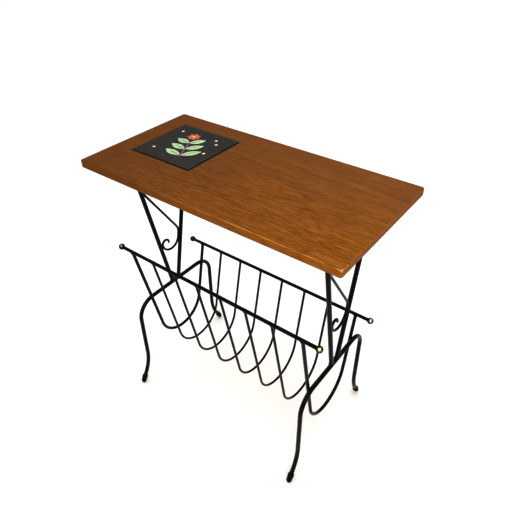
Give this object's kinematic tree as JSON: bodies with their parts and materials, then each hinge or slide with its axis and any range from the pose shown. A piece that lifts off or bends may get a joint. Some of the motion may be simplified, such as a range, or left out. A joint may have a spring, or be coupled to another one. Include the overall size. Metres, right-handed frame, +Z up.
{
  "type": "magazine table",
  "caption": "Low occasional table with a veneered wood top and an inlaid square tile, on bent rod end frames that carry a hanging wire magazine rack.",
  "frame": {"origin": "on the floor under the middle of the table top", "axes": "+X along the top to the right as seen from the front, +Y from the front to the back, +Z up; the front is the side with the higher rack rail"},
  "size_m": [0.571, 0.3078, 0.6],
  "materials": {
    "teak_veneer": "satin oiled teak veneer with straight grain along the length",
    "teak_lipping": "satin oiled solid teak edging with worn lighter arrises",
    "backing_veneer": "plain unpolished backing veneer",
    "core_board": "raw pressed wood board",
    "tile_glaze": "charcoal satin glaze with a raised coloured glaze decoration",
    "tile_adhesive": "matt dried tile adhesive",
    "black_enamel": "satin black enamel on steel rod",
    "foot_rubber": "matt black moulded rubber",
    "aged_brass": "aged polished brass",
    "screw_steel": "dull zinc-plated steel"
  },
  "bodies": {
    "root": {"tabletop_core": "core_board", "top_veneer": "teak_veneer", "underside_veneer": "backing_veneer", "front_lipping": "teak_lipping", "back_lipping": "teak_lipping", "left_lipping": "teak_lipping", "right_lipping": "teak_lipping", "inlay_tile": "tile_glaze", "tile_adhesive_bed": "tile_adhesive", "left_leg_frame": "black_enamel", "right_leg_frame": "black_enamel", "left_front_strut": "black_enamel", "left_back_strut": "black_enamel", "right_front_strut": "black_enamel", "right_back_strut": "black_enamel", "left_scroll": "black_enamel", "right_scroll": "black_enamel", "left_mounting_plate": "black_enamel", "right_mounting_plate": "black_enamel", "front_rail": "black_enamel", "back_rail": "black_enamel", "left_end_hoop": "black_enamel", "right_end_hoop": "black_enamel", "rack_wire_1": "black_enamel", "rack_wire_2": "black_enamel", "rack_wire_3": "black_enamel", "rack_wire_4": "black_enamel", "rack_wire_5": "black_enamel", "rack_wire_6": "black_enamel", "left_front_foot_cap": "foot_rubber", "left_back_foot_cap": "foot_rubber", "right_front_foot_cap": "foot_rubber", "right_back_foot_cap": "foot_rubber", "front_rail_left_ball": "aged_brass", "front_rail_right_ball": "aged_brass", "back_rail_left_ball": "aged_brass", "back_rail_right_ball": "aged_brass", "mounting_screws": "screw_steel"}
  },
  "joints": []
}
